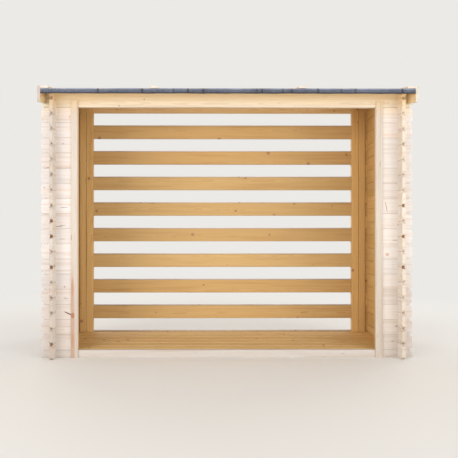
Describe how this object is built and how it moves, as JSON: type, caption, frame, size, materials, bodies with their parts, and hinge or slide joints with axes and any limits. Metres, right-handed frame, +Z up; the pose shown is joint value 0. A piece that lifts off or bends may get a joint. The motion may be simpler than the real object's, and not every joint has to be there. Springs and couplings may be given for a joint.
{
  "type": "log cabin style firewood store",
  "caption": "Open-fronted firewood store of interlocking tongue-and-groove spruce boards with a slatted rear wall and a felted roof that falls to the front.",
  "frame": {"origin": "on the ground in the middle of the four walls, on the underside of the middle floor bearer", "axes": "+X to the right seen from the open front, +Y to the rear, +Z up"},
  "size_m": [2.966, 1.032, 2.2961],
  "materials": {
    "spruce_wall_boards": "planed, untreated",
    "spruce_posts": "planed, untreated",
    "spruce_roof_boards": "planed, untreated",
    "spruce_trim": "planed, untreated",
    "spruce_floor": "sawn, untreated",
    "mineral_felt": "bitumen felt with a mineral surface"
  },
  "bodies": {
    "root": {"floor_bearers": "spruce_floor", "floor_slats": "spruce_floor", "front_eave_lath": "spruce_roof_boards", "front_lintel": "spruce_wall_boards", "front_sill": "spruce_wall_boards", "left_barge_board": "spruce_trim", "left_front_even_boards": "spruce_wall_boards", "left_front_odd_boards": "spruce_wall_boards", "left_gable_lower_board": "spruce_wall_boards", "left_gable_upper_board": "spruce_wall_boards", "left_post": "spruce_posts", "left_rear_fillers": "spruce_wall_boards", "left_wall_even_boards": "spruce_wall_boards", "left_wall_odd_boards": "spruce_wall_boards", "rear_eave_lath": "spruce_roof_boards", "rear_inner_battens": "spruce_posts", "rear_outer_battens": "spruce_posts", "rear_planks": "spruce_wall_boards", "rear_sill": "spruce_wall_boards", "rear_top_plank": "spruce_wall_boards", "right_barge_board": "spruce_trim", "right_front_even_boards": "spruce_wall_boards", "right_front_odd_boards": "spruce_wall_boards", "right_gable_lower_board": "spruce_wall_boards", "right_gable_upper_board": "spruce_wall_boards", "right_post": "spruce_posts", "right_rear_fillers": "spruce_wall_boards", "right_wall_even_boards": "spruce_wall_boards", "right_wall_odd_boards": "spruce_wall_boards", "roof_battens": "spruce_trim", "roof_even_boards": "spruce_roof_boards", "roof_felt": "mineral_felt", "roof_odd_boards": "spruce_roof_boards"}
  },
  "joints": []
}
